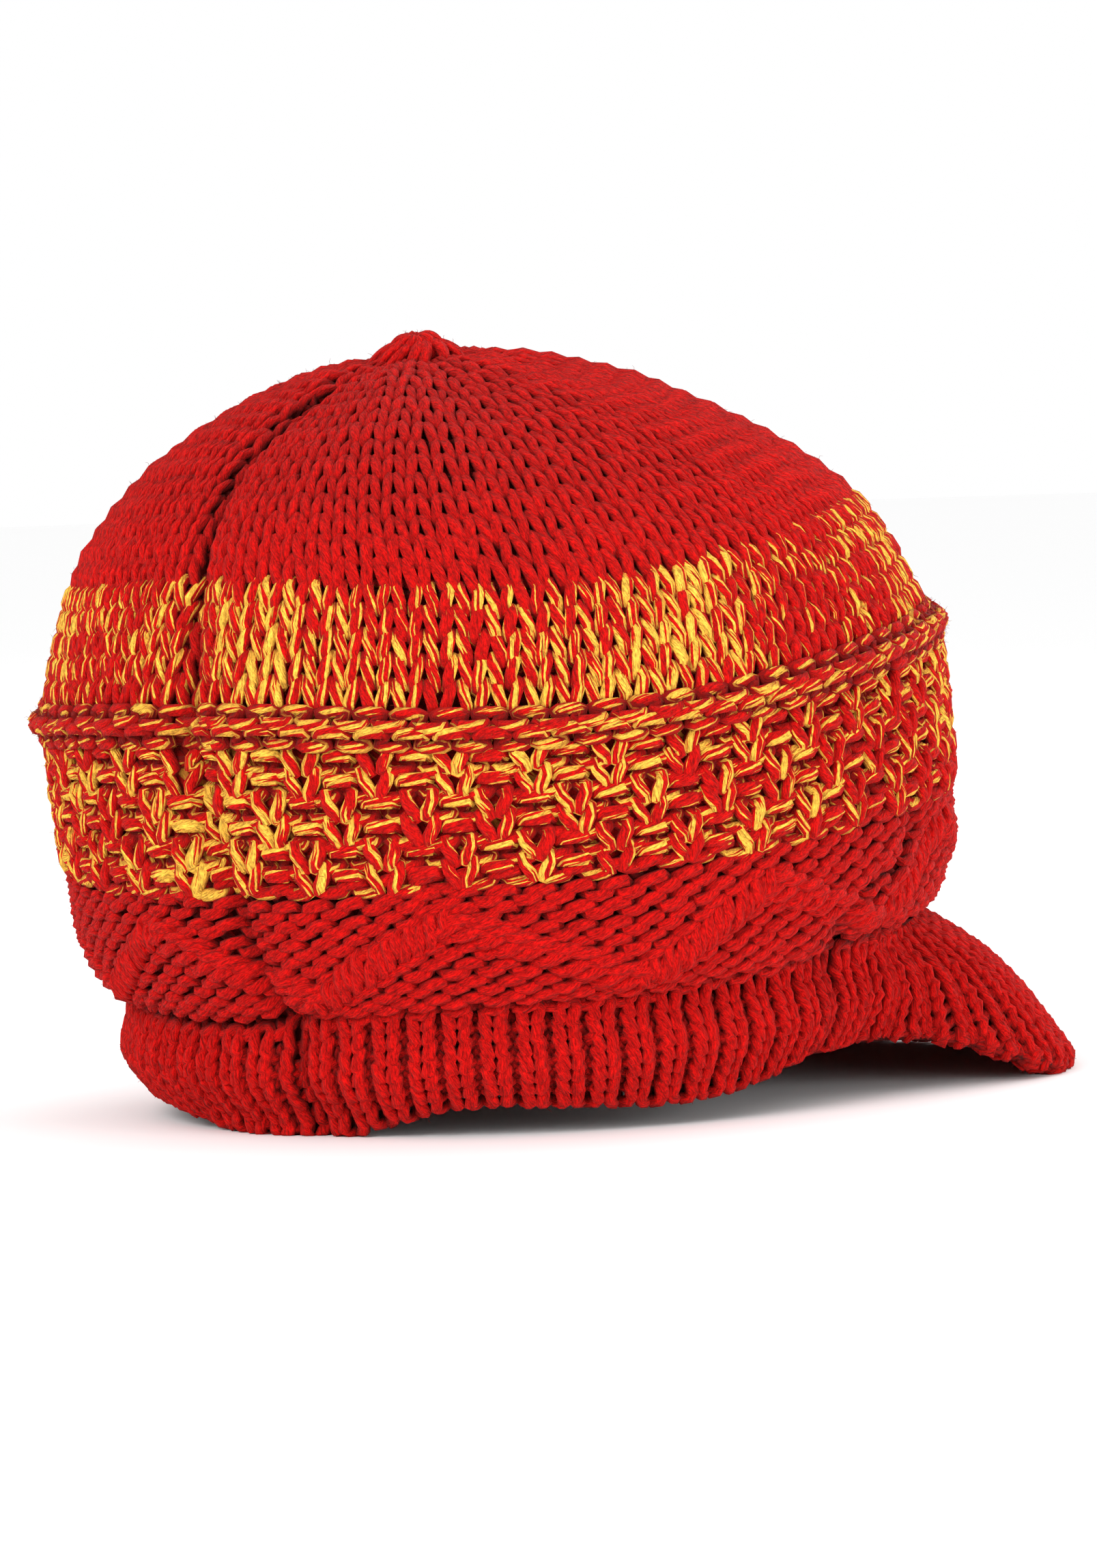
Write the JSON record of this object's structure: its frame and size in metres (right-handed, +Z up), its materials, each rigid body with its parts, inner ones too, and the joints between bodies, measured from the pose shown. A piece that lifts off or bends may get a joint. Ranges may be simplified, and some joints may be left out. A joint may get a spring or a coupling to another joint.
{
  "type": "knit visor beanie",
  "caption": "Hand-knitted beanie with a ribbed brim that flares into a short peak, a cable band, marled pattern bands and a gathered crown.",
  "frame": {"origin": "centre of the cap's box on the surface that it rests on", "axes": "+Z up, -Y towards the peak, +X towards the wearer's left"},
  "size_m": [0.1944, 0.2426, 0.1658],
  "materials": {
    "red_yarn": "soft plied acrylic and wool yarn, slightly fuzzy",
    "marled_yarn": "red and yellow plies twisted together, slightly fuzzy"
  },
  "bodies": {
    "root": {"rib_brim": "red_yarn", "peak": "red_yarn", "cable_band": "red_yarn", "basket_band": "marled_yarn", "purl_ridge": "marled_yarn", "marl_stripe": "marled_yarn", "crown": "red_yarn", "crown_gather": "red_yarn"}
  },
  "joints": []
}
